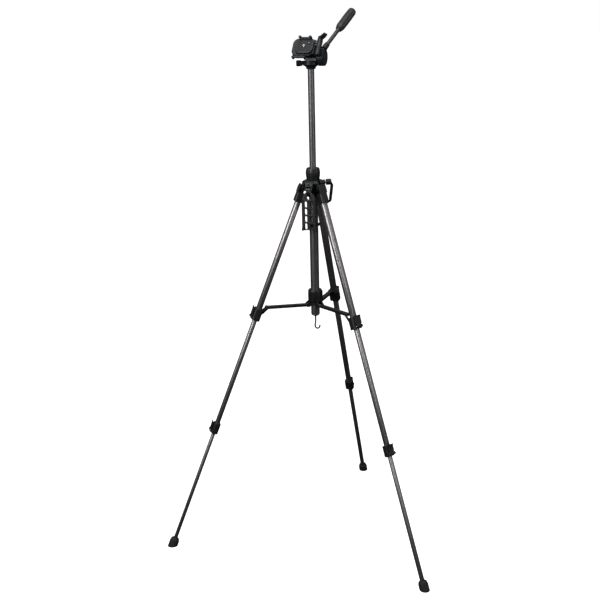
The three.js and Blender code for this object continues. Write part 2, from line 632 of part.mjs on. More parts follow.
// the plate drops into the platform; its rear lip carries two horns
function quickPlate() {
  const { front, back, left, right, bottom, top, corner } = PLATE;
  const slab = prism(roundedRectangle(back, front, left, right, corner), bottom, top, 4);
  const middle = (left + right) / 2;
  const lip = prism(roundedRectangle(back, back + 5, middle - 18, middle + 18, 2.4), top - 1, top + 5);
  const horns = [-1, 1].map((side) => prism(
    roundedRectangle(back - 1.5, back + 4.5, middle + side * 15 - 4, middle + side * 15 + 4, 2.4), top - 1, top + 10));
  const ribs = [];
  for (const y of [-22, -17, -12, 3, 8, 13]) ribs.push(block(back + 8, front - 6, y, y + 2, top - 1, top + 1));
  const pin = bar('z', 2, top - 1, top + 3.4, back + 18, middle + 12.6, 10);
  const solids = join(slab, lip, ...horns, ...ribs, pin);
  const screwHole = bar('z', 3.6, bottom - 1, top + 2, -1, middle, 14);
  const screwWell = bar('z', 8.6, bottom - 1, bottom + 2.4, -1, middle, 20);
  return cut(solids, screwHole, screwWell);
}

function cameraScrew() {
  const middle = (PLATE.left + PLATE.right) / 2;
  const thread = bar('z', 3.1, PLATE.bottom + 0.4, PLATE.top + 5.4, -1, middle, 14);
  const head = bar('z', 8.2, PLATE.bottom - 3, PLATE.bottom + 1.9, -1, middle, 20);
  return join(thread, head);
}

// swings out about its front left corner
function plateLever() {
  const y0 = LEVER_PIVOT.y;
  const x0 = LEVER_PIVOT.x - 3.2;
  const blade = outline([[x0, y0], [x0 + 5.5, y0], [x0 + 6.5, y0 + 16], [x0 + 6, y0 + 34], [x0 + 3, y0 + 38],
    [x0 + 1, y0 + 33]]);
  return join(prism(blade, 37.5, 42.5), bar('z', 4, 36.8, 42.9, LEVER_PIVOT.x, y0, 14));
}

// lock lever at the rear end of the portrait hinge
function portraitLever() {
  const back = BARREL.back - 0.4;
  const collar = bar('x', BARREL.radius - 0.5, back - 8, back, BARREL.y, BARREL.z, 18);
  const fin = outline([[back - 8, BARREL.z], [back, BARREL.z], [back - 0.6, BARREL.z + 15], [back - 3, BARREL.z + 23],
    [back - 8, BARREL.z + 27], [back - 10, BARREL.z + 25], [back - 9, BARREL.z + 12]]);
  const blade = sidePlate(fin, BARREL.y - 5.5, BARREL.y + 5.5).translate(0, -BARREL.y, -BARREL.z);
  blade.rotateX(-rad(FIN_TURN_DEG)).translate(0, BARREL.y, BARREL.z);
  return join(collar, blade);
}

function handleRod() {
  const rod = bar('x', ROD_RADIUS, 17, GRIP.from + 10, 0, 0, 16);
  const nut = bar('x', ROD_RADIUS + 1.6, 34.6, 42, 0, 0, 6);
  return join(turnedHandle(rod), turnedHandle(nut));
}

function handleGrip() {
  const { from, to, radius } = GRIP;
  const middle = (from + to) / 2;
  const half = (to - from) / 2;
  const profile = [[0, -half], [radius - 3.5, -half], [radius - 0.6, -half + 9], [radius, 0],
    [radius - 0.6, half - 9], [radius - 3, half], [0, half]];
  const body = lathe(profile, 24).rotateY(Math.PI / 2).translate(middle, 0, 0);
  const solids = toSolid(turnedHandle(body));
  const flutes = [];
  for (let flute = 0; flute < 6; flute += 1) {
    const angle = flute * Math.PI / 3;
    const y = (radius + 0.6) * Math.cos(angle);
    const z = (radius + 0.6) * Math.sin(angle);
    flutes.push(turnedHandle(bar('x', 2, from + 14, to - 8, y, z, 8)));
  }
  const socket = turnedHandle(bar('x', ROD_RADIUS + GAP, from - 2, from + 10.5, 0, 0, 16));
  return cut(solids, ...flutes, socket);
}

// ---- assembly ----
const model = new THREE.Group();
model.name = 'photo_tripod';

place(model, 'shoulder', shoulderBody(), blackPlastic());
place(model, 'guide_tube', guideTube(), anodised());
place(model, 'guide_tube_end_cap', endCap(), anodised());
place(model, 'weight_hook', weightHook(), steel());
place(model, 'column_bushing', columnBushing(), plastic(0x101214));
place(model, 'column_lock_collar', columnCollar(), blackPlastic());
place(model, 'centre_column', centreColumn(), anodised());
place(model, 'column_rack', columnRack(), blackPlastic());
place(model, 'pinion_shaft', pinionShaft(), steel());
place(model, 'crank_arm', crankArm(), blackPlastic());
place(model, 'crank_grip', crankGrip(), blackPlastic());
place(model, 'carry_handle', carryHandle(), blackPlastic());
place(model, 'spreader_hub', spreaderHub(), blackPlastic());

const level = turned(bar('z', 6, 1118.3, 1126, 21, 0, 16), 185);
place(model, 'bubble_level', level, plastic(0xb9d52a, 0.2));

const screw = turned(bar('x', 2.3, 33.4, 36.4, 0, 1118.5, 8), 270);
place(model, 'carry_bracket_screw', screw, steel());

const armShape = spreaderArm();
const hoodShape = legHood();
const upperLockShape = legLock(UPPER_LOCK, UPPER_TUBE, MIDDLE_TUBE, true);
const lowerLockShape = legLock(LOWER_LOCK, MIDDLE_TUBE, LOWER_TUBE, false);
const upperLeverShape = lockLever(UPPER_LOCK);
const lowerLeverShape = lockLever(LOWER_LOCK);
const footShape = rubberFoot();
const boltReach = TONGUE_THICKNESS / 2 + 0.4 + LUG_THICKNESS + GAP;
const boltShape = join(
  bar('y', BOLT_RADIUS, -boltReach - 1, boltReach + 1, 0, 0, 10),
  bar('y', 4.4, -boltReach - 2.4, -boltReach, 0, 0, 10),
  bar('y', 4.4, boltReach, boltReach + 2.4, 0, 0, 10),
);

LEG_AZIMUTHS.forEach((azimuth, index) => {
  const number = index + 1;
  const spoke = new THREE.Group();
  spoke.rotation.z = rad(azimuth);
  model.add(spoke);

  const arm = new THREE.Group();
  arm.position.set(HUB.pinRadius, 0, PIN_HEIGHT);
  arm.rotation.y = -Math.atan2(earPin.height - PIN_HEIGHT, earPin.radius - HUB.pinRadius);
  spoke.add(arm);
  place(arm, `spreader_arm_${number}`, armShape, blackPlastic());

  const hinge = new THREE.Group();
  hinge.position.set(HINGE_RADIUS, 0, HINGE_HEIGHT);
  spoke.add(hinge);
  place(hinge, `hinge_bolt_${number}`, boltShape, steel());

  const leg = new THREE.Group();
  leg.rotation.y = -rad(SPLAY_DEG);
  hinge.add(leg);
  place(leg, `leg_hood_${number}`, hoodShape, blackPlastic());
  place(leg, `upper_tube_${number}`, ovalTube(UPPER_TUBE), anodised());
  place(leg, `upper_lock_${number}`, upperLockShape, blackPlastic());
  place(leg, `upper_lever_${number}`, upperLeverShape, blackPlastic());
  place(leg, `middle_tube_${number}`, ovalTube(MIDDLE_TUBE), anodised());
  place(leg, `lower_lock_${number}`, lowerLockShape, blackPlastic());
  place(leg, `lower_lever_${number}`, lowerLeverShape, blackPlastic());
  place(leg, `lower_tube_${number}`, ovalTube(LOWER_TUBE), anodised());
  place(leg, `rubber_foot_${number}`, footShape, rubber());
});

const head = new THREE.Group();
head.rotation.z = rad(HEAD_AZIMUTH);
model.add(head);
place(head, 'pan_base', panBase(), headPlastic());
place(head, 'pan_body', panBody(), headPlastic());
place(head, 'pan_lock_knob', panLockKnob(), headPlastic());

const tilt = new THREE.Group();
tilt.position.z = TILT_HEIGHT;
tilt.rotation.y = rad(TILT_DEG);
head.add(tilt);
place(tilt, 'tilt_axle', tiltAxle(), steel());
place(tilt, 'tilt_head', tiltHead(), headPlastic());
place(tilt, 'platform', platform(), headPlastic());
place(tilt, 'quick_release_plate', quickPlate(), headPlastic());
place(tilt, 'camera_screw', cameraScrew(), steel());
place(tilt, 'plate_lever', plateLever(), headPlastic());
place(tilt, 'portrait_lock_lever', portraitLever(), headPlastic());
place(tilt, 'pan_handle_rod', handleRod(), headPlastic());
place(tilt, 'pan_handle_grip', handleGrip(), rubber());

// the origin lies on the floor under the middle of the footprint
const footprint = new THREE.Box3().setFromObject(model, true).getCenter(new THREE.Vector3());
model.position.set(-footprint.x, -footprint.y, 0);

export default model;
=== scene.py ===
"""The looks of a camera tripod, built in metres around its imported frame."""
import json
from math import atan2, cos, pi, radians, sin

import bmesh
import bpy
import numpy as np
from mathutils import Matrix, Vector

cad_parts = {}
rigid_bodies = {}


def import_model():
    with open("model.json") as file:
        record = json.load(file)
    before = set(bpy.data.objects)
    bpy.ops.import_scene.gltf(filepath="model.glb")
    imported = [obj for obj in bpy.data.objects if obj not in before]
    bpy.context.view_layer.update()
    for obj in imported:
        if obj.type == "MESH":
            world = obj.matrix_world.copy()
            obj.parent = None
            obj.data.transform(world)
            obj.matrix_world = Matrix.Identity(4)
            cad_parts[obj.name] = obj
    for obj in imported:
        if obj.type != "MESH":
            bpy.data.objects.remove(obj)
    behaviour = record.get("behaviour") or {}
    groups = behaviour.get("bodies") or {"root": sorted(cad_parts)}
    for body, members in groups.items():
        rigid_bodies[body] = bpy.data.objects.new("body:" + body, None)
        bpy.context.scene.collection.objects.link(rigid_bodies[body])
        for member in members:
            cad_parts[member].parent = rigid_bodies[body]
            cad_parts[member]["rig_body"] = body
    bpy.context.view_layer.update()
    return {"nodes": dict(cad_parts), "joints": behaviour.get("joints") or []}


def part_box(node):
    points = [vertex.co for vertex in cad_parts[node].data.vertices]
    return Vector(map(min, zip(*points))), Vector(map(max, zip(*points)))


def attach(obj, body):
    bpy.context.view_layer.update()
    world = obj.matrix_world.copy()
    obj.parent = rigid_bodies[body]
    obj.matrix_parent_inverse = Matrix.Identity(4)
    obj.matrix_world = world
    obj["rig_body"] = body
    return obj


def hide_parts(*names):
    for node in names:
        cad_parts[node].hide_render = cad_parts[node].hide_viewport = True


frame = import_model()
nodes = frame["nodes"]
joints = {joint["name"]: joint for joint in frame["joints"]}

MM = 0.001
LEGS = (1, 2, 3)
UP = Vector((0, 0, 1))


# ---- places in the frame ----
def placed(origin, y, z):
    """A local frame with its z axis given, and its y axis as near the given one as it can be."""
    z = Vector(z).normalized()
    x = Vector(y).cross(z).normalized()
    matrix = Matrix((x, z.cross(x), z)).transposed().to_4x4()
    matrix.translation = Vector(origin)
    return matrix


def centre(node):
    low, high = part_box(node)
    return (low + high) / 2


def pivot(joint):
    return Vector(joints[joint]["pos_m"])


def axis(joint):
    return Vector(joints[joint]["axis"])


def extent(node, matrix):
    """Lowest and highest corner of a CAD node in a local frame, in mm."""
    inverse = matrix.inverted()
    points = np.array([inverse @ vertex.co for vertex in nodes[node].data.vertices])
    return Vector(points.min(0) / MM), Vector(points.max(0) / MM)


foot_of_column = centre("guide_tube")
foot_of_column.z = 0
COLUMN = Matrix.Translation(foot_of_column)
HEAD = placed(foot_of_column, axis("head_tilt"), UP)
TILT = placed(pivot("head_tilt"), axis("head_tilt"), axis("plate_lift"))
HANDLE = placed(pivot("handle_twist"), axis("head_tilt"), axis("handle_twist"))
CRANK = placed(pivot("crank_turn"), UP.cross(axis("crank_turn")), UP)
CARRY = placed(pivot("carry_handle_swing"), (0, 1, 0), UP)
LEG = {
    k: placed(centre(f"hinge_bolt_{k}"), axis(f"arm_{k}_fold"), -axis(f"leg_{k}_middle_slide"))
    for k in LEGS
}
ARM = {k: placed(pivot(f"arm_{k}_fold"), axis(f"arm_{k}_fold"), UP) for k in LEGS}


# ---- materials: every pattern reads the piece's own millimetres, kept in the attribute "local" ----
def wire(tree, kind, inputs=None, **settings):
    node = tree.nodes.new("ShaderNode" + kind)
    for key, value in settings.items():
        setattr(node, key, value)
    for key, value in (inputs or {}).items():
        if isinstance(value, bpy.types.NodeSocket):
            tree.links.new(value, node.inputs[key])
        else:
            node.inputs[key].default_value = value
    return node


def blank(name):
    material = bpy.data.materials.new(name)
    material.use_nodes = True
    tree = material.node_tree
    surface = tree.nodes["Principled BSDF"]
    local = wire(tree, "Attribute", attribute_name="local").outputs["Vector"]
    return material, tree, surface, local


def noise(tree, vector, scale, detail=3.0, stretch=(1, 1, 1)):
    if stretch != (1, 1, 1):
        vector = wire(tree, "Mapping", {"Vector": vector, "Scale": stretch}).outputs["Vector"]
    return wire(tree, "TexNoise", {"Vector": vector, "Scale": scale, "Detail": detail}).outputs["Fac"]


def spread(tree, value, low, high, to_low, to_high):
    inputs = {"Value": value, "From Min": low, "From Max": high, "To Min": to_low, "To Max": to_high}
    return wire(tree, "MapRange", inputs).outputs["Result"]


def mixed(tree, factor, a, b):
    node = wire(tree, "Mix", data_type="RGBA")
    for socket, value in ((node.inputs[0], factor), (node.inputs[6], a), (node.inputs[7], b)):
        if isinstance(value, bpy.types.NodeSocket):
            tree.links.new(value, socket)
        else:
            socket.default_value = value
    return node.outputs[2]


def shade(colour, factor):
    return (*[min(1.0, channel * factor) for channel in colour], 1.0)


def link_bump(tree, surface, height, strength, distance):
    bump = wire(tree, "Bump", {"Height": height, "Strength": strength, "Distance": distance})
    tree.links.new(bump.outputs["Normal"], surface.inputs["Normal"])


# Convex edges, found by pointiness, painted paler: a painted edge highlight, not wear.
def painted_edge_highlight(tree, amount):
    edge = wire(tree, "NewGeometry").outputs["Pointiness"]
    return spread(tree, edge, 0.52, 0.62, 0.0, amount)


def plastic(name, colour, rough, grain=1.6, depth=0.25, edge=0.5, broad=0.035):
    """Moulded plastic: a fine grain, slow colour changes and edges painted paler as a highlight."""
    material, tree, surface, local = blank(name)
    slow = spread(tree, noise(tree, local, broad, 4), 0.35, 0.65, 0, 1)
    fine = noise(tree, local, grain, 2)
    tone = mixed(tree, slow, shade(colour, 0.82), shade(colour, 1.2))
    speck = spread(tree, fine, 0.55, 0.75, 0, 0.3)
    tone = mixed(tree, speck, tone, shade(colour, 1.5))
    # Paler convex edges: a painted highlight.
    tone = mixed(tree, painted_edge_highlight(tree, edge), tone, shade(colour, 2.4))
    tree.links.new(tone, surface.inputs["Base Color"])
    uneven = spread(tree, noise(tree, local, broad * 6, 3), 0.3, 0.7, rough - 0.07, rough + 0.09)
    tree.links.new(uneven, surface.inputs["Roughness"])
    surface.inputs["Specular IOR Level"].default_value = 0.5
    link_bump(tree, surface, fine, depth, 0.00006)
    return material


def anodised(name, colour, rough, streak=0.2, along=(1, 1, 0.012)):
    """Drawn and anodised aluminium: long fine streaks down the tube, and faint handling marks."""
    material, tree, surface, local = blank(name)
    lines = noise(tree, local, 1.4, 3, along)
    cloud = noise(tree, local, 0.02, 4)
    streaks = spread(tree, lines, 0.3, 0.7, 0, 1)
    tone = mixed(tree, streaks, shade(colour, 1 - streak), shade(colour, 1 + streak))
    tone = mixed(tree, spread(tree, cloud, 0.4, 0.7, 0, 0.3), tone, shade(colour, 1.15))
    scuff = noise(tree, local, 0.6, 6, (1, 1, 0.15))
    tone = mixed(tree, spread(tree, scuff, 0.66, 0.74, 0, 0.4), tone, shade(colour, 1.6))
    tree.links.new(tone, surface.inputs["Base Color"])
    surface.inputs["Metallic"].default_value = 1.0
    uneven = spread(tree, lines, 0.25, 0.75, rough - 0.06, rough + 0.08)
    tree.links.new(uneven, surface.inputs["Roughness"])
    link_bump(tree, surface, lines, 0.12, 0.00004)
    return material


def plated(name, colour, rough):
    """Zinc-plated steel with fine turned marks."""
    material, tree, surface, local = blank(name)
    marks = noise(tree, local, 3.0, 4, (1, 1, 4))
    patch = noise(tree, local, 0.25, 4)
    tone = mixed(tree, spread(tree, patch, 0.35, 0.65, 0, 1), shade(colour, 0.75), shade(colour, 1.1))
    tree.links.new(tone, surface.inputs["Base Color"])
    surface.inputs["Metallic"].default_value = 1.0
    uneven = spread(tree, marks, 0.3, 0.7, rough - 0.08, rough + 0.1)
    tree.links.new(uneven, surface.inputs["Roughness"])
    link_bump(tree, surface, marks, 0.15, 0.00003)
    return material


def rubber(name, colour, rough=0.8, dust=0.5):
    """Soft moulded rubber with a matt skin and a little pale dust in flecks."""
    material, tree, surface, local = blank(name)
    skin = noise(tree, local, 2.4, 3)
    cloud = noise(tree, local, 0.12, 5)
    tone = mixed(tree, spread(tree, cloud, 0.4, 0.65, 0, 1), shade(colour, 0.8), shade(colour, 1.35))
    tone = mixed(tree, spread(tree, skin, 0.6, 0.8, 0, dust), tone, shade(colour, 2.6))
    # Paler convex edges: a painted highlight.
    tone = mixed(tree, painted_edge_highlight(tree, 0.35), tone, shade(colour, 2.6))
    tree.links.new(tone, surface.inputs["Base Color"])
    tree.links.new(spread(tree, cloud, 0.3, 0.7, rough - 0.1, rough + 0.08), surface.inputs["Roughness"])
    link_bump(tree, surface, skin, 0.35, 0.00012)
    return material


def level_fluid(name):
    """The spirit level's yellow-green fluid under a clear lens, with its printed ring."""
    material, tree, surface, local = blank(name)
    axes = wire(tree, "SeparateXYZ", {"Vector": local})
    flat = wire(tree, "CombineXYZ", {"X": axes.outputs["X"], "Y": axes.outputs["Y"]}).outputs["Vector"]
    radius = wire(tree, "VectorMath", {0: flat}, operation="LENGTH").outputs["Value"]
    tone = mixed(tree, spread(tree, radius, 0.5, 5.5, 0, 1), (0.36, 0.43, 0.05, 1), (0.15, 0.2, 0.02, 1))
    off_ring = wire(tree, "Math", {0: radius, 1: 2.9}, operation="SUBTRACT").outputs["Value"]
    off_ring = wire(tree, "Math", {0: off_ring}, operation="ABSOLUTE").outputs["Value"]
    tone = mixed(tree, spread(tree, off_ring, 0.16, 0.26, 1, 0), tone, (0.02, 0.03, 0.01, 1))
    haze = spread(tree, noise(tree, local, 0.8, 2), 0.4, 0.7, 0, 0.25)
    tone = mixed(tree, haze, tone, (0.5, 0.56, 0.2, 1))
    tree.links.new(tone, surface.inputs["Base Color"])
    surface.inputs["Roughness"].default_value = 0.08
    surface.inputs["Coat Weight"].default_value = 0.6
    return material


BLACK = plastic("black_moulding", (0.0066, 0.0072, 0.0078), 0.42)
DARK = plastic("head_moulding", (0.0088, 0.0115, 0.0145), 0.36, grain=1.9, depth=0.08)
PAD = rubber("plate_pad", (0.013, 0.0145, 0.0165), 0.7, dust=0.15)
ALUMINIUM = anodised("leg_anodising", (0.335, 0.318, 0.33), 0.42)
COLUMN_METAL = anodised("column_anodising", (0.205, 0.195, 0.207), 0.44)
STEEL = plated("zinc_plating", (0.62, 0.60, 0.58), 0.3)
DARK_STEEL = plated("blackened_steel", (0.02, 0.02, 0.021), 0.42)
RUBBER = rubber("foot_rubber_skin", (0.0085, 0.0085, 0.009))
GRIP = rubber("grip_rubber_skin", (0.026, 0.0255, 0.0265), 0.46, dust=0.1)
ROD = anodised("rod_coating", (0.15, 0.14, 0.142), 0.4)
CAP = plastic("grey_end_cap", (0.30, 0.30, 0.29), 0.45, edge=0.1)
BUSH = plastic("bushing_moulding", (0.0075, 0.0078, 0.008), 0.5)
FLUID = level_fluid("level_fluid_lens")


# ---- pieces ----
def add_piece(name, shape, matrix, body, material, stands_for=(), bevel=0.0, sharp=38, segments=2):
    """Makes a shown piece from a bmesh in the millimetres of a local frame."""
    bmesh.ops.recalc_face_normals(shape, faces=shape.faces)
    draft_mesh = bpy.data.meshes.new(name)
    shape.to_mesh(draft_mesh)
    shape.free()
    piece = bpy.data.objects.new(name, draft_mesh)
    bpy.context.scene.collection.objects.link(piece)
    draft_mesh.shade_smooth()
    if bevel:
        soften = piece.modifiers.new("soften", "BEVEL")
        soften.width = bevel
        soften.segments = segments
        soften.limit_method = "ANGLE"
        soften.angle_limit = radians(24)
        soften.use_clamp_overlap = False
        soften.miter_outer = "MITER_ARC"
        normals = piece.modifiers.new("normals", "WEIGHTED_NORMAL")
        normals.keep_sharp = True
    else:
        draft_mesh.set_sharp_from_angle(angle=radians(sharp))
    depsgraph = bpy.context.evaluated_depsgraph_get()
    mesh = bpy.data.meshes.new_from_object(piece.evaluated_get(depsgraph))
    points = np.zeros(len(mesh.vertices) * 3, np.float32)
    mesh.vertices.foreach_get("co", points)
    mesh.attributes.new("local", "FLOAT_VECTOR", "POINT").data.foreach_set("vector", points)
    mesh.transform(matrix @ Matrix.Scale(MM, 4))
    piece.modifiers.clear()
    piece.data = mesh
    bpy.data.meshes.remove(draft_mesh)
    mesh.materials.clear()
    mesh.materials.append(material)
    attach(piece, body)
    if stands_for:
        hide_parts(*stands_for)
    return piece


def refined(node, matrix, material, bevel=0.4, segments=2):
    """A CAD node with its flat facets joined and every edge softened, as moulded parts have."""
    shape = bmesh.new()
    shape.from_mesh(nodes[node].data)
    shape.transform(Matrix.Scale(1 / MM, 4) @ matrix.inverted())
    bmesh.ops.remove_doubles(shape, verts=shape.verts, dist=0.01)
    bmesh.ops.dissolve_limit(shape, angle_limit=radians(0.8), verts=shape.verts, edges=shape.edges)
    body = nodes[node]["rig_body"]
    return add_piece(f"{node}_skin", shape, matrix, body, material, [node], bevel, segments=segments)


# ---- shapes, in millimetres ----
def grid(rows, closed_rows=True, cap=True):
    """A skin over rows of points. Each row is a ring; the first and last are capped."""
    shape = bmesh.new()
    rings = [[shape.verts.new(point) for point in row] for row in rows]
    count = len(rings[0])
    for low, high in zip(rings, rings[1:]):
        for i in range(count if closed_rows else count - 1):
            j = (i + 1) % count
            shape.faces.new((low[i], low[j], high[j], high[i]))
    if cap:
        shape.faces.new(reversed(rings[0]))
        shape.faces.new(rings[-1])
    return shape


def turned_shape(profile, count=64, radius_at=None):
    """A closed body of revolution about z. Points are (radius, z); radius_at shapes it round the axis."""
    rows = []
    for radius, z in profile:
        ring = []
        for i in range(count):
            angle = 2 * pi * i / count
            r = radius_at(radius, angle, z) if radius_at else radius
            ring.append((r * cos(angle), r * sin(angle), z))
        rows.append(ring)
    closed = profile[0] == profile[-1]
    shape = grid(rows, cap=not closed)
    if closed:
        bmesh.ops.remove_doubles(shape, verts=shape.verts, dist=1e-4)
    return shape


def rounded(width, depth, corner, steps=8):
    """A ring of points round a rounded rectangle, depth along x and width along y."""
    points = []
    for quarter in range(4):
        sx = 1 if quarter in (0, 3) else -1
        sy = 1 if quarter in (0, 1) else -1
        for step in range(steps + 1):
            angle = (quarter + step / steps) * pi / 2
            points.append((
                sx * (depth / 2 - corner) + corner * cos(angle),
                sy * (width / 2 - corner) + corner * sin(angle),
            ))
    return points


def oval_tube(depth, width, wall, low, high):
    """A flattened tube with rounded ends to its wall."""
    corner = depth * 0.42
    outer = rounded(width, depth, corner)
    inner = rounded(width - 2 * wall, depth - 2 * wall, max(corner - wall, 0.5))
    lip = rounded(width - 0.3, depth - 0.3, corner - 0.15)
    rows = [
        [(x, y, low) for x, y in inner], [(x, y, low) for x, y in lip],
        [(x, y, low + 0.25) for x, y in outer], [(x, y, high - 0.25) for x, y in outer],
        [(x, y, high) for x, y in lip], [(x, y, high) for x, y in inner],
        [(x, y, low) for x, y in inner],
    ]
    shape = grid(rows, cap=False)
    bmesh.ops.remove_doubles(shape, verts=shape.verts, dist=1e-4)
    return shape


def moved(shape, matrix):
    shape.transform(matrix)
    return shape


def together(*shapes):
    """Several shapes in one piece."""
    whole = bmesh.new()
    for shape in shapes:
        mesh = bpy.data.meshes.new("part")
        shape.to_mesh(mesh)
        shape.free()
        whole.from_mesh(mesh)
        bpy.data.meshes.remove(mesh)
    return whole


def slab(x0, x1, y0, y1, z0, z1, corner=0.0, steps=3):
    """A block with its z edges rounded."""
    if corner:
        ring = [(x + (x0 + x1) / 2, y + (y0 + y1) / 2) for x, y in rounded(y1 - y0, x1 - x0, corner, steps)]
    else:
        ring = [(x0, y0), (x1, y0), (x1, y1), (x0, y1)]
    return grid([[(x, y, z) for x, y in ring] for z in (z0, z1)])


def cushion(x0, x1, y0, y1, z0, z1, corner, soft=0.8, steps=6):
    """A block with rounded corners whose top and bottom rims are rounded too."""
    shift = Vector(((x0 + x1) / 2, (y0 + y1) / 2, 0))
    levels = [(z0, soft + 0.7)]
    levels += [(z0 + soft - soft * sin(t), soft * (1 - cos(t))) for t in (pi / 2, pi / 3, pi / 6, 0)]
    levels += [(z1 - soft + soft * sin(t), soft * (1 - cos(t))) for t in (0, pi / 6, pi / 3, pi / 2)]
    levels += [(z1, soft + 0.7)]
    rows = []
    for z, inset in levels:
        ring = rounded(y1 - y0 - 2 * inset, x1 - x0 - 2 * inset, max(corner - inset, 0.3), steps)
        rows.append([Vector((x, y, z)) + shift for x, y in ring])
    return grid(rows)


def sheet(outlines, thickness, soft):
    """A flat moulding with rounded rims about z = 0. The first outline is the rim, the others are holes."""
    curve = bpy.data.curves.new("outline", "CURVE")
    curve.dimensions = "2D"
    curve.fill_mode = "BOTH"
    curve.extrude = thickness / 2 - soft
    curve.bevel_depth = soft
    curve.bevel_resolution = 3
    curve.offset = -soft
    for points in outlines:
        spline = curve.splines.new("POLY")
        spline.points.add(len(points) - 1)
        for knot, (x, y) in zip(spline.points, points):
            knot.co = (x, y, 0, 1)
        spline.use_cyclic_u = True
    draft = bpy.data.objects.new("outline", curve)
    bpy.context.scene.collection.objects.link(draft)
    mesh = bpy.data.meshes.new_from_object(draft)
    shape = bmesh.new()
    shape.from_mesh(mesh)
    bmesh.ops.remove_doubles(shape, verts=shape.verts, dist=1e-3)
    bpy.data.objects.remove(draft)
    bpy.data.curves.remove(curve)
    bpy.data.meshes.remove(mesh)
    return shape


def arc(x, y, radius, start, end, count=12):
    """Points on an arc, angles in degrees."""
    angles = [radians(start + (end - start) * i / count) for i in range(count + 1)]
    return [(x + radius * cos(a), y + radius * sin(a)) for a in angles]


def bend(start, control, end, count=10):
    """Points on a quadratic curve, without its start."""
    points = []
    for i in range(1, count + 1):
        t = i / count
        weights = ((1 - t) ** 2, 2 * t * (1 - t), t * t)
        points.append(tuple(sum(w * p[n] for w, p in zip(weights, (start, control, end))) for n in (0, 1)))
    return points


def lobed_knob(radius, low, high, lobes, depth):
    """A hand knob about z with finger flutes and rounded rims."""
    def fluted(r, angle, z):
        if r < radius - 2.2:
            return r
        share = min(1.0, max(0.0, (z - low - 0.8) / 1.5)) * min(1.0, max(0.0, (high - 0.8 - z) / 1.5))
        return r - depth * share * max(0.0, cos(lobes * angle)) ** 3

    profile = [(0.01, low), (radius - 1, low), (radius - 0.2, low + 0.6), (radius, low + 1.4)]
    profile += [(radius, low + (high - low) * t) for t in (0.25, 0.4, 0.55, 0.7)]
    profile += [(radius, high - 1.6), (radius - 0.4, high - 0.5), (radius - 1.4, high), (radius - 3, high),
                (radius - 3.4, high - 0.6), (0.01, high - 0.6)]
    return turned_shape(profile, lobes * 12, fluted)


ALONG_X = Matrix.Rotation(pi / 2, 4, "Y")
ALONG_Y = Matrix.Rotation(-pi / 2, 4, "X")
FACING_Y = Matrix.Rotation(pi / 2, 4, "X")


# ---- fixed parts under the head ----
def guide_tube():
    low, high = extent("guide_tube", COLUMN)
    r = high.x
    wall = 1.2
    profile = [
        (r - wall, low.z), (r - 0.3, low.z), (r, low.z + 0.3), (r, high.z), (r - wall, high.z),
        (r - wall, low.z),
    ]
    add_piece("guide_tube_skin", turned_shape(profile, 72), COLUMN, "shoulder",
              COLUMN_METAL, ["guide_tube"])


def end_cap():
    low, high = extent("guide_tube_end_cap", COLUMN)
    r = high.x
    floor = low.z
    shoulder = floor + 6.2
    profile = [
        (2.9, floor), (7.6, floor), (8.2, floor + 0.4), (11.4, floor + 2.3), (r - 0.5, floor + 5.4),
        (r, shoulder - 0.4), (r - 0.3, shoulder), (r - 1.6, shoulder), (r - 1.6, high.z), (7.2, high.z),
        (7.2, floor + 5.5), (2.9, floor + 5.5), (2.9, floor),
    ]
    add_piece("end_cap_skin", turned_shape(profile, 64), COLUMN, "shoulder",
              COLUMN_METAL, ["guide_tube_end_cap"])


def centre_column():
    """A round tube with the slot that the rack lies in."""
    low, high = extent("centre_column", COLUMN)
    rack_low, rack_high = extent("column_rack", COLUMN)
    rack = centre("column_rack") - foot_of_column
    azimuth = atan2(rack.y, rack.x)
    r, wall, gap = high.x, 1.3, 0.3
    half = (2.5 + gap) / r
    count = 72
    angles = [azimuth + half + (2 * pi - 2 * half) * i / count for i in range(count + 1)]
    shape = bmesh.new()
    levels = [low.z, rack_low.z - gap, rack_high.z + gap, high.z]

    def ring(radius, z):
        return [shape.verts.new((radius * cos(a), radius * sin(a), z)) for a in angles]

    outer = [ring(r, z) for z in levels]
    inner = [ring(r - wall, z) for z in levels]
    for level in range(3):
        for i in range(count + 1):
            j = (i + 1) % (count + 1)
            if i == count and level == 1:
                continue
            shape.faces.new((outer[level][i], outer[level][j], outer[level + 1][j], outer[level + 1][i]))
            shape.faces.new((inner[level][j], inner[level][i], inner[level + 1][i], inner[level + 1][j]))
    for i in range(count + 1):
        j = (i + 1) % (count + 1)
        shape.faces.new((inner[0][i], inner[0][j], outer[0][j], outer[0][i]))
        shape.faces.new((outer[3][i], outer[3][j], inner[3][j], inner[3][i]))
    for end in (0, count):
        shape.faces.new((outer[1][end], outer[2][end], inner[2][end], inner[1][end]))
    for level in (1, 2):
        shape.faces.new((outer[level][0], outer[level][count], inner[level][count], inner[level][0]))
    add_piece("centre_column_skin", shape, COLUMN, "centre_column",
              COLUMN_METAL, ["centre_column"])


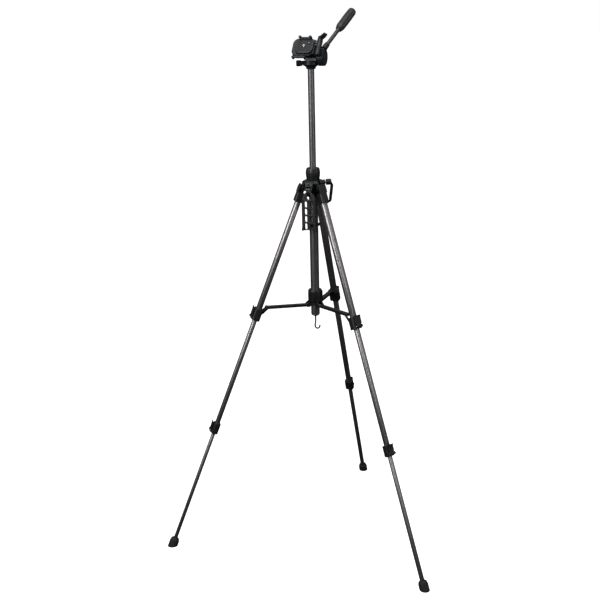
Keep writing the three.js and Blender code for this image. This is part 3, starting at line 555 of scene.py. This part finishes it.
def lock_collar():
    """The hand-turned collar: six finger lobes, a rounded shoulder and a notched mouth."""
    low, high = extent("column_lock_collar", COLUMN)
    r, bore = high.x, 13.7
    z0, z1 = low.z, high.z

    def lobed(radius, angle, z):
        if radius < bore + 1:
            return radius
        share = min(1.0, max(0.0, (z - z0 - 2.5) / 3)) * min(1.0, max(0.0, (z1 + 1.5 - z) / 4))
        groove = max(0.0, cos(6 * (angle - radians(15)))) ** 10
        return radius - 1.7 * groove * share

    profile = [(bore, z0), (r - 3, z0), (r - 2.3, z0 + 0.8)]
    profile += [(r - 2.1 + 2.1 * sin(pi / 2 * t), z0 + 2 + 18 * t) for t in (0, 0.2, 0.4, 0.6, 0.8, 1)]
    profile += [(r - 1.3 * t * t, z0 + 20 + 8.5 * t) for t in (0.35, 0.7, 1)]
    profile += [(r - 1.3 - 3.2 * (1 - cos(t)), z0 + 28.5 + 5.5 * sin(t)) for t in (0.4, 0.8, 1.2, pi / 2)]
    profile += [(bore + 0.6, z1), (bore, z1 - 0.6), (bore, z0)]
    shape = turned_shape(profile, 144, lobed)
    add_piece("lock_collar_skin", shape, COLUMN, "lock_collar", BLACK,
              ["column_lock_collar"])


def bubble_level():
    """A round vial in a raised rim."""
    spot = centre("bubble_level") - foot_of_column
    low, high = extent("bubble_level", COLUMN)
    here = COLUMN @ Matrix.Translation((spot.x, spot.y, 0))
    top = high.z
    dome = [(5.9, low.z), (5.9, top - 0.9)]
    dome += [(5.7 * cos(t), top - 0.9 + 0.9 * sin(t)) for t in (0.3, 0.7, 1.1, 1.4)]
    lens = turned_shape(dome + [(0.01, top)], 48)
    add_piece("level_lens", lens, here, "shoulder", FLUID, ["bubble_level"])
    rim = [(6.05, top - 1.2), (7.8, top - 1.2), (7.8, top - 0.6), (7.3, top - 0.1), (6.5, top - 0.1),
           (6.05, top - 0.5), (6.05, top - 1.2)]
    add_piece("level_rim", turned_shape(rim, 48), here, "shoulder", BLACK)


def hinge_bolts():
    """Domed rivet heads with a turned recess on both ends of each shoulder bolt."""
    for k in LEGS:
        head, reach = 4.6, extent(f"hinge_bolt_{k}", LEG[k])[1].y
        profile = [(0.01, -reach), (2.0, -reach), (2.4, -reach - 0.35), (head - 1, -reach),
                   (head, -reach + 0.9), (head, -reach + 2.2), (2.5, -reach + 2.2), (2.5, reach - 2.2),
                   (head, reach - 2.2), (head, reach - 0.9), (head - 1, reach), (2.4, reach + 0.35),
                   (2.0, reach), (0.01, reach)]
        shape = moved(turned_shape(profile, 32), ALONG_Y)
        add_piece(f"hinge_bolt_{k}_skin", shape, LEG[k], "shoulder", DARK_STEEL,
                  [f"hinge_bolt_{k}"])


def weight_hook():
    """Bent wire with a flattened head, its open end rounded."""
    top = extent("weight_hook", COLUMN)[1].z
    wire_radius, curl = 2.3, 7.4
    stem_top = top - 2.5
    base = stem_top - 38.5
    stem = [(0, stem_top), (0, base + 14), (-0.9, base + 9), (-1.9, base + 3)]
    stem += [(curl - 2 - curl * cos(t), base - curl * sin(t)) for t in np.linspace(0.05, pi - 0.1, 14)]
    stem.append((2 * curl - 1.4, base + 3))
    path = [Vector((x, 0, z)) for x, z in stem]
    rows = []
    for i, point in enumerate(path):
        ahead = (path[min(i + 1, len(path) - 1)] - path[max(i - 1, 0)]).normalized()
        side = Vector((0, 1, 0))
        out = ahead.cross(side)
        turns = np.linspace(0, 2 * pi, 17)[:-1]
        rows.append([point + wire_radius * (side * cos(a) + out * sin(a)) for a in turns])
    tip = path[-1] + (path[-1] - path[-2]).normalized() * 1.2
    rows.append([tip + 0.5 * (p - path[-1]) for p in rows[-1]])
    head = turned_shape([(0.01, stem_top), (4.9, stem_top), (5.2, stem_top + 0.5), (5.2, stem_top + 1.8),
                         (4.6, top), (0.01, top)], 32)
    add_piece("weight_hook_skin", together(grid(rows), head), COLUMN, "weight_hook",
              DARK_STEEL, ["weight_hook"])


# ---- legs ----
def leg_tubes():
    walls = {"upper": 1.2, "middle": 1.2, "lower": 1.1}
    for k in LEGS:
        for section, wall in walls.items():
            low, high = extent(f"{section}_tube_{k}", LEG[k])
            shape = oval_tube(high.x - low.x, high.y - low.y, wall, low.z, high.z)
            node = f"{section}_tube_{k}"
            body = nodes[node]["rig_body"]
            add_piece(f"{node}_skin", shape, LEG[k], body, ALUMINIUM, [node])


def leg_mouldings():
    for k in LEGS:
        refined(f"leg_hood_{k}", LEG[k], BLACK, 0.8, 3)
        refined(f"upper_lock_{k}", LEG[k], BLACK, 0.5)
        refined(f"lower_lock_{k}", LEG[k], BLACK, 0.5)
        refined(f"upper_lever_{k}", LEG[k], BLACK, 0.5)
        refined(f"lower_lever_{k}", LEG[k], BLACK, 0.5)
        refined(f"rubber_foot_{k}", LEG[k], RUBBER, 0.7, 3)
        refined(f"spreader_arm_{k}", ARM[k], BLACK, 0.5)


def lever_ribs():
    """Finger ribs across each lever and a rivet at its pivot."""
    for k in LEGS:
        for place in ("upper", "lower"):
            low, high = extent(f"{place}_lever_{k}", LEG[k])
            face = high.x - 2.7
            half = high.y - 3.6
            ribs = []
            for row in range(4):
                z = low.z + 13 + 4.0 * row
                ribs.append(slab(face, face + 1.0, -half, half, z, z + 1.5, 0.4))
            body = nodes[f"{place}_lever_{k}"]["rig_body"]
            add_piece(f"{place}_lever_ribs_{k}", together(*ribs), LEG[k], body, BLACK,
                      bevel=0.25)
            z = low.z + 3.2
            pin = [(0.01, -high.y - 0.5), (1.5, -high.y - 0.5), (2.0, -high.y), (2.0, high.y),
                   (1.5, high.y + 0.5), (0.01, high.y + 0.5)]
            shape = moved(turned_shape(pin, 20), Matrix.Translation((high.x - 3.1, 0, z)) @ ALONG_Y)
            add_piece(f"{place}_lever_rivet_{k}", shape, LEG[k], body, STEEL)


def hub_ribs():
    """Grip ribs round the sliding hub, with room left for the folded arms."""
    count, room = 36, radians(22)
    top = extent("spreader_hub", COLUMN)[1].z
    spokes = [atan2(*reversed((pivot(f"arm_{k}_fold") - foot_of_column).xy)) for k in LEGS]
    ribs = []
    for i in range(count):
        angle = 2 * pi * i / count
        off = min(abs((angle - spoke + pi) % (2 * pi) - pi) for spoke in spokes)
        if off > room:
            rib = slab(20.8, 22.4, -0.9, 0.9, top - 32, top - 5, 0.6)
            ribs.append(moved(rib, Matrix.Rotation(angle, 4, "Z")))
    add_piece("spreader_hub_ribs", together(*ribs), COLUMN, "spreader_hub", BLACK,
              bevel=0.3)


# ---- these keep their CAD shape, with softened edges ----
def mouldings():
    refined("shoulder", COLUMN, BLACK, 0.7, 3)
    refined("spreader_hub", COLUMN, BLACK, 0.5)
    refined("carry_bracket_screw", CARRY, DARK_STEEL, 0.3)
    refined("column_bushing", COLUMN, BUSH, 0.2)
    refined("column_rack", COLUMN, BLACK, 0.15)
    refined("pinion_shaft", CRANK, STEEL, 0.2)
    refined("crank_arm", CRANK, BLACK, 0.8, 3)
    refined("crank_grip", CRANK, BLACK, 0.6)
    refined("pan_base", HEAD, DARK, 0.5)
    refined("pan_body", HEAD, DARK, 0.6)
    refined("tilt_axle", TILT, STEEL, 0.3)
    refined("tilt_head", TILT, DARK, 0.9, 3)
    refined("platform", TILT, DARK, 0.8, 3)
    refined("plate_lever", TILT, DARK, 0.6)
    refined("portrait_lock_lever", TILT, DARK, 0.6)


def carry_handle():
    """A flat grip with a teardrop hole and two rows of slots, hinged at its top and clipped to the tube."""
    base = extent("carry_handle", CARRY)[0].z
    half, waist, thick = 21.5, 7.6, 7.5
    rim = [(-half - 1.5, base)] + bend((-half - 1.5, base), (0, base + 7), (half + 1.5, base), 16)
    rim += [(half, base + 14), (half, -30)] + bend((half, -30), (half - 1, -18), (waist, -8))
    rim += [(waist, 0), (-waist, 0), (-waist, -8)] + bend((-waist, -8), (-half + 1, -18), (-half, -30))
    rim += [(-half, base + 14)]
    holes = [arc(0, -24, 6, -180, 0, 16) + [(3, -10), (-3, -10)]]
    for row in range(4):
        for x in (-9.2, 9.2):
            z = -43.6 - 21.4 * row
            holes.append(arc(x, z + 5, 3.8, 0, 180) + arc(x, z - 5, 3.8, 180, 360))
    plate = moved(sheet([rim] + holes, thick, 1.5), FACING_Y)
    barrel = turned_shape([(0.01, -8), (3.7, -8), (4.2, -7.5), (4.2, 7.5), (3.7, 8), (0.01, 8)], 40)
    barrel = moved(barrel, ALONG_X)
    pin = moved(turned_shape([(0.01, -10.8), (1.8, -10.8), (1.8, 10.8), (0.01, 10.8)], 24), ALONG_X)
    grip, wall = 13.4, 3.2
    ring = [(grip, 6)] + arc(0, 0, grip, 0, -180, 24) + [(-grip, 6), (-grip - wall, 6)]
    ring += arc(0, 0, grip + wall, -180, 0, 24) + [(grip + wall, 6)]
    radius = (foot_of_column - pivot("carry_handle_swing")).y / MM
    clip = moved(sheet([ring], 9, 0.6), Matrix.Translation((0, radius, base + 13.5)))
    stalk = slab(-5, 5, 2, radius - grip, base + 9, base + 18, 1.0)
    add_piece("carry_handle_skin", together(plate, barrel, clip, stalk), CARRY, "carry_handle",
              BLACK, ["carry_handle"])
    add_piece("carry_handle_pin", pin, CARRY, "carry_handle", DARK_STEEL)


# ---- details of the head ----
def release_plate():
    """The plate's tray, its grooved pad, the rear lip with two horns, and its steel pin."""
    low, high = extent("quick_release_plate", TILT)
    back, front, left, right = low.x + 1.5, high.x, low.y, high.y
    base = low.z
    top = base + 6.7
    middle = (left + right) / 2
    tray = cushion(back, front, left, right, base, top, 13, 1.2)
    lip = cushion(back, back + 5, middle - 18, middle + 18, top - 1, top + 5, 2.3, 0.8)
    horns = []
    for side in (-15, 15):
        y = middle + side
        horns.append(cushion(back - 1.5, back + 4.5, y - 4, y + 4, top - 1, top + 10, 2.3, 1.4))
    add_piece("release_plate_skin", together(tray, lip, *horns), TILT, "quick_release_plate",
              DARK, ["quick_release_plate"])
    ribs = []
    for row in range(13):
        y = left + 5 + 3.25 * row
        near_screw = abs(y + 1 - middle) < 6.5
        ribs.append(slab(back + 8, -10 if near_screw else front - 6, y, y + 1.8, top - 0.3, top + 0.9, 0.7))
        if near_screw:
            ribs.append(slab(8, front - 6, y, y + 1.8, top - 0.3, top + 0.9, 0.7))
    seat = turned_shape([(4, top - 0.3), (7, top - 0.3), (7, top + 0.4), (6.6, top + 0.8), (4.3, top + 0.8),
                         (4, top + 0.4), (4, top - 0.3)], 40)
    seat = moved(seat, Matrix.Translation((-1, middle, 0)))
    add_piece("release_plate_pad", together(seat, *ribs), TILT, "quick_release_plate", PAD,
              bevel=0.25)
    pin = turned_shape([(0.01, top), (2, top), (2, top + 2.6), (1.7, top + 3.2), (0.9, top + 3.6),
                        (0.01, top + 3.7)], 28)
    pin = moved(pin, Matrix.Translation((back + 18, middle + 12.6, 0)))
    add_piece("release_plate_pin", pin, TILT, "quick_release_plate", STEEL)
    screw_low, screw_high = extent("camera_screw", TILT)
    start, end = screw_low.z, screw_high.z
    profile = [(0.01, start), (8, start), (8.2, start + 0.4), (8.2, start + 4.9), (3.1, start + 4.9)]
    for turn in range(5):
        z = end - 6 + 1.1 * turn
        profile += [(3.1, z), (2.65, z + 0.35), (2.65, z + 0.6), (3.1, z + 0.95)]
    profile += [(3.1, end - 0.4), (2.6, end), (0.01, end)]
    screw = moved(turned_shape(profile, 36), Matrix.Translation((-1, middle, 0)))
    add_piece("camera_screw_skin", screw, TILT, "camera_screw", STEEL, ["camera_screw"])


def head_details():
    """Rings round the portrait hinge, a turned face on the drum and the fluted pan lock knob."""
    spot = TILT.inverted() @ pivot("platform_flip") / MM
    rings = []
    start = extent("platform", TILT)[0].x + 5
    for row in range(6):
        x = start + 7.4 * row
        profile = [(7.6, x), (8.35, x + 0.3), (8.5, x + 0.9), (8.5, x + 1.9), (8.35, x + 2.5),
                   (7.6, x + 2.8), (7.6, x)]
        rings.append(turned_shape(profile, 48))
    bands = moved(together(*rings), Matrix.Translation((0, spot.y, spot.z)) @ ALONG_X)
    add_piece("portrait_hinge_rings", bands, TILT, "tilt_head", DARK)
    face = 42.0
    rim = [(15.5, face - 0.5), (15.5, face + 0.3), (16, face + 0.7), (20.5, face + 0.7), (21, face + 0.3),
           (21, face - 0.5), (15.5, face - 0.5)]
    hub = [(0.01, face - 0.5), (9, face - 0.5), (9, face + 0.4), (8.4, face + 0.9), (0.01, face + 1.1)]
    cover = moved(together(turned_shape(rim, 64), turned_shape(hub, 48)), ALONG_Y)
    add_piece("tilt_drum_face", cover, TILT, "tilt_head", DARK)
    lock = placed(pivot("pan_lock"), UP, axis("pan_lock"))
    low, high = extent("pan_lock_knob", lock)
    knob = lobed_knob(8.5, high.z - 12.5, high.z, 10, 0.9)
    stem = turned_shape([(0.01, low.z), (2.5, low.z), (2.5, high.z - 12), (0.01, high.z - 12)], 24)
    add_piece("pan_lock_knob_skin", together(knob, stem), lock, "pan_lock_knob", DARK,
              ["pan_lock_knob"])


# ---- pan handle ----
def pan_handle():
    low, high = extent("pan_handle_rod", HANDLE)
    r = 5.6
    start, end = low.z, high.z
    rod = turned_shape([(0.01, start), (r - 0.4, start), (r, start + 0.4), (r, end - 0.4), (r - 0.4, end),
                        (0.01, end)], 48)
    nut_z = start + 17.6
    nut = turned_shape([(r + 0.05, nut_z), (r + 1.4, nut_z), (r + 1.8, nut_z + 0.5), (r + 1.8, nut_z + 6.9),
                        (r + 1.4, nut_z + 7.4), (r + 0.05, nut_z + 7.4), (r + 0.05, nut_z)], 40)
    add_piece("pan_handle_rod_skin", together(rod, nut), HANDLE, "pan_handle",
              ROD, ["pan_handle_rod"])

    low, high = extent("pan_handle_grip", HANDLE)
    z0, z1 = low.z, high.z

    def fluted(outer, angle, z):
        if outer < 10.0:
            return outer
        share = min(1.0, max(0.0, (z - z0 - 10) / 5)) * min(1.0, max(0.0, (z1 - 4 - z) / 5))
        groove = max(0.0, cos(6 * angle)) ** 4
        return outer - 1.9 * groove * share

    profile = [(r + 0.3, z0 + 9), (r + 0.3, z0), (8.6, z0), (9.7, z0 + 0.8), (10.1, z0 + 3)]
    profile += [(10.1 + 2.3 * (1 - cos(pi * t)) / 2, z0 + 3 + 10 * t) for t in (0.25, 0.5, 0.75, 1)]
    body_low, body_high = z0 + 13, z1 - 4
    for step in range(1, 17):
        t = step / 16
        profile.append((12.4 + 0.6 * sin(pi * t), body_low + (body_high - body_low) * t))
    profile += [(12, z1 - 2.6), (11.2, z1 - 1.4), (9.9, z1 - 0.8), (0.01, z1 - 0.8)]
    shape = turned_shape(profile, 96, fluted)
    add_piece("pan_handle_grip_skin", shape, HANDLE, "pan_handle", GRIP, ["pan_handle_grip"])
    cap = turned_shape([(0.01, z1 - 1.6), (8.8, z1 - 1.6), (8.8, z1 - 0.5), (8.1, z1), (0.01, z1)], 48)
    add_piece("grip_end_cap", cap, HANDLE, "pan_handle", CAP)


# ---- stage ----
def stage():
    mesh = bpy.data.meshes.new("floor")
    size = 30.0
    corners = [(-size, -size, 0), (size, -size, 0), (size, size, 0), (-size, size, 0)]
    mesh.from_pydata(corners, [], [(0, 1, 2, 3)])
    floor = bpy.data.objects.new("floor", mesh)
    bpy.context.scene.collection.objects.link(floor)
    material = bpy.data.materials.new("pale_floor")
    material.use_nodes = True
    tree = material.node_tree
    surface = tree.nodes["Principled BSDF"]
    place = wire(tree, "TexCoord").outputs["Object"]
    tone = mixed(tree, noise(tree, place, 0.8, 3), (0.58, 0.58, 0.58, 1), (0.6, 0.6, 0.6, 1))
    tree.links.new(tone, surface.inputs["Base Color"])
    tree.links.new(tone, surface.inputs["Emission Color"])
    surface.inputs["Emission Strength"].default_value = 1.75
    surface.inputs["Roughness"].default_value = 1.0
    surface.inputs["Specular IOR Level"].default_value = 0.0
    mesh.materials.append(material)
    floor.visible_glossy = False
    floor.visible_diffuse = False


def softbox(name, direction, distance, width, height, power):
    """An area light that faces the middle of the stand. direction is (azimuth, elevation) in degrees."""
    azimuth, elevation = (radians(angle) for angle in direction)
    middle = foot_of_column + Vector((0, 0, 0.8))
    toward = Vector((cos(elevation) * cos(azimuth), cos(elevation) * sin(azimuth), sin(elevation)))
    light = bpy.data.lights.new(name, "AREA")
    light.shape = "RECTANGLE"
    light.size, light.size_y = width, height
    light.energy = power
    box = bpy.data.objects.new(name, light)
    box.location = middle + toward * distance
    box.rotation_euler = toward.to_track_quat("Z", "Y").to_euler()
    bpy.context.scene.collection.objects.link(box)


def studio():
    world = bpy.data.worlds.new("studio")
    world.use_nodes = True
    tree = world.node_tree
    background = tree.nodes["Background"]
    seen = wire(tree, "LightPath").outputs["Is Camera Ray"]
    toward = wire(tree, "TexCoord").outputs["Generated"]
    height = wire(tree, "SeparateXYZ", {"Vector": toward}).outputs["Z"]
    level = spread(tree, height, -0.15, 0.5, 0.02, 0.26)
    room = wire(tree, "CombineColor", {"Red": level, "Green": level, "Blue": level}).outputs["Color"]
    tone = mixed(tree, seen, room, (1, 1, 1, 1))
    tree.links.new(tone, background.inputs["Color"])
    background.inputs["Strength"].default_value = 1.0
    bpy.context.scene.world = world
    softbox("key", (VIEW_AZIMUTH - 42, 30), 3.0, 0.8, 2.2, 62)
    softbox("fill", (VIEW_AZIMUTH + 50, 20), 3.4, 0.6, 2.0, 22)
    softbox("top", (VIEW_AZIMUTH + 10, 80), 3.2, 2.4, 2.4, 46)


VIEW_AZIMUTH = 290.3
VIEW_ELEVATION = 16.38
VIEW_ROLL = -1.08
VIEW_DISTANCE = 3.110
VIEW_HEIGHT = 0.766
LENS_MM = 62.52
FRAMING_SHIFT = -0.0255


def camera():
    azimuth, elevation = radians(VIEW_AZIMUTH), radians(VIEW_ELEVATION)
    back = Vector((cos(elevation) * cos(azimuth), cos(elevation) * sin(azimuth), sin(elevation)))
    data = bpy.data.cameras.new("camera")
    data.lens = LENS_MM
    data.sensor_width = 36.0
    data.shift_x = FRAMING_SHIFT
    data.clip_end = 100
    eye = bpy.data.objects.new("camera", data)
    turn = back.to_track_quat("Z", "Y") @ Matrix.Rotation(radians(VIEW_ROLL), 4, "Z").to_quaternion()
    eye.rotation_euler = turn.to_euler()
    eye.location = foot_of_column + Vector((0, 0, VIEW_HEIGHT)) + back * VIEW_DISTANCE
    bpy.context.scene.collection.objects.link(eye)
    bpy.context.scene.camera = eye
    bpy.context.scene.view_settings.view_transform = "Standard"


camera()
guide_tube()
end_cap()
centre_column()
lock_collar()
bubble_level()
hinge_bolts()
weight_hook()
leg_tubes()
leg_mouldings()
lever_ribs()
hub_ribs()
mouldings()
carry_handle()
release_plate()
head_details()
pan_handle()
stage()
studio()
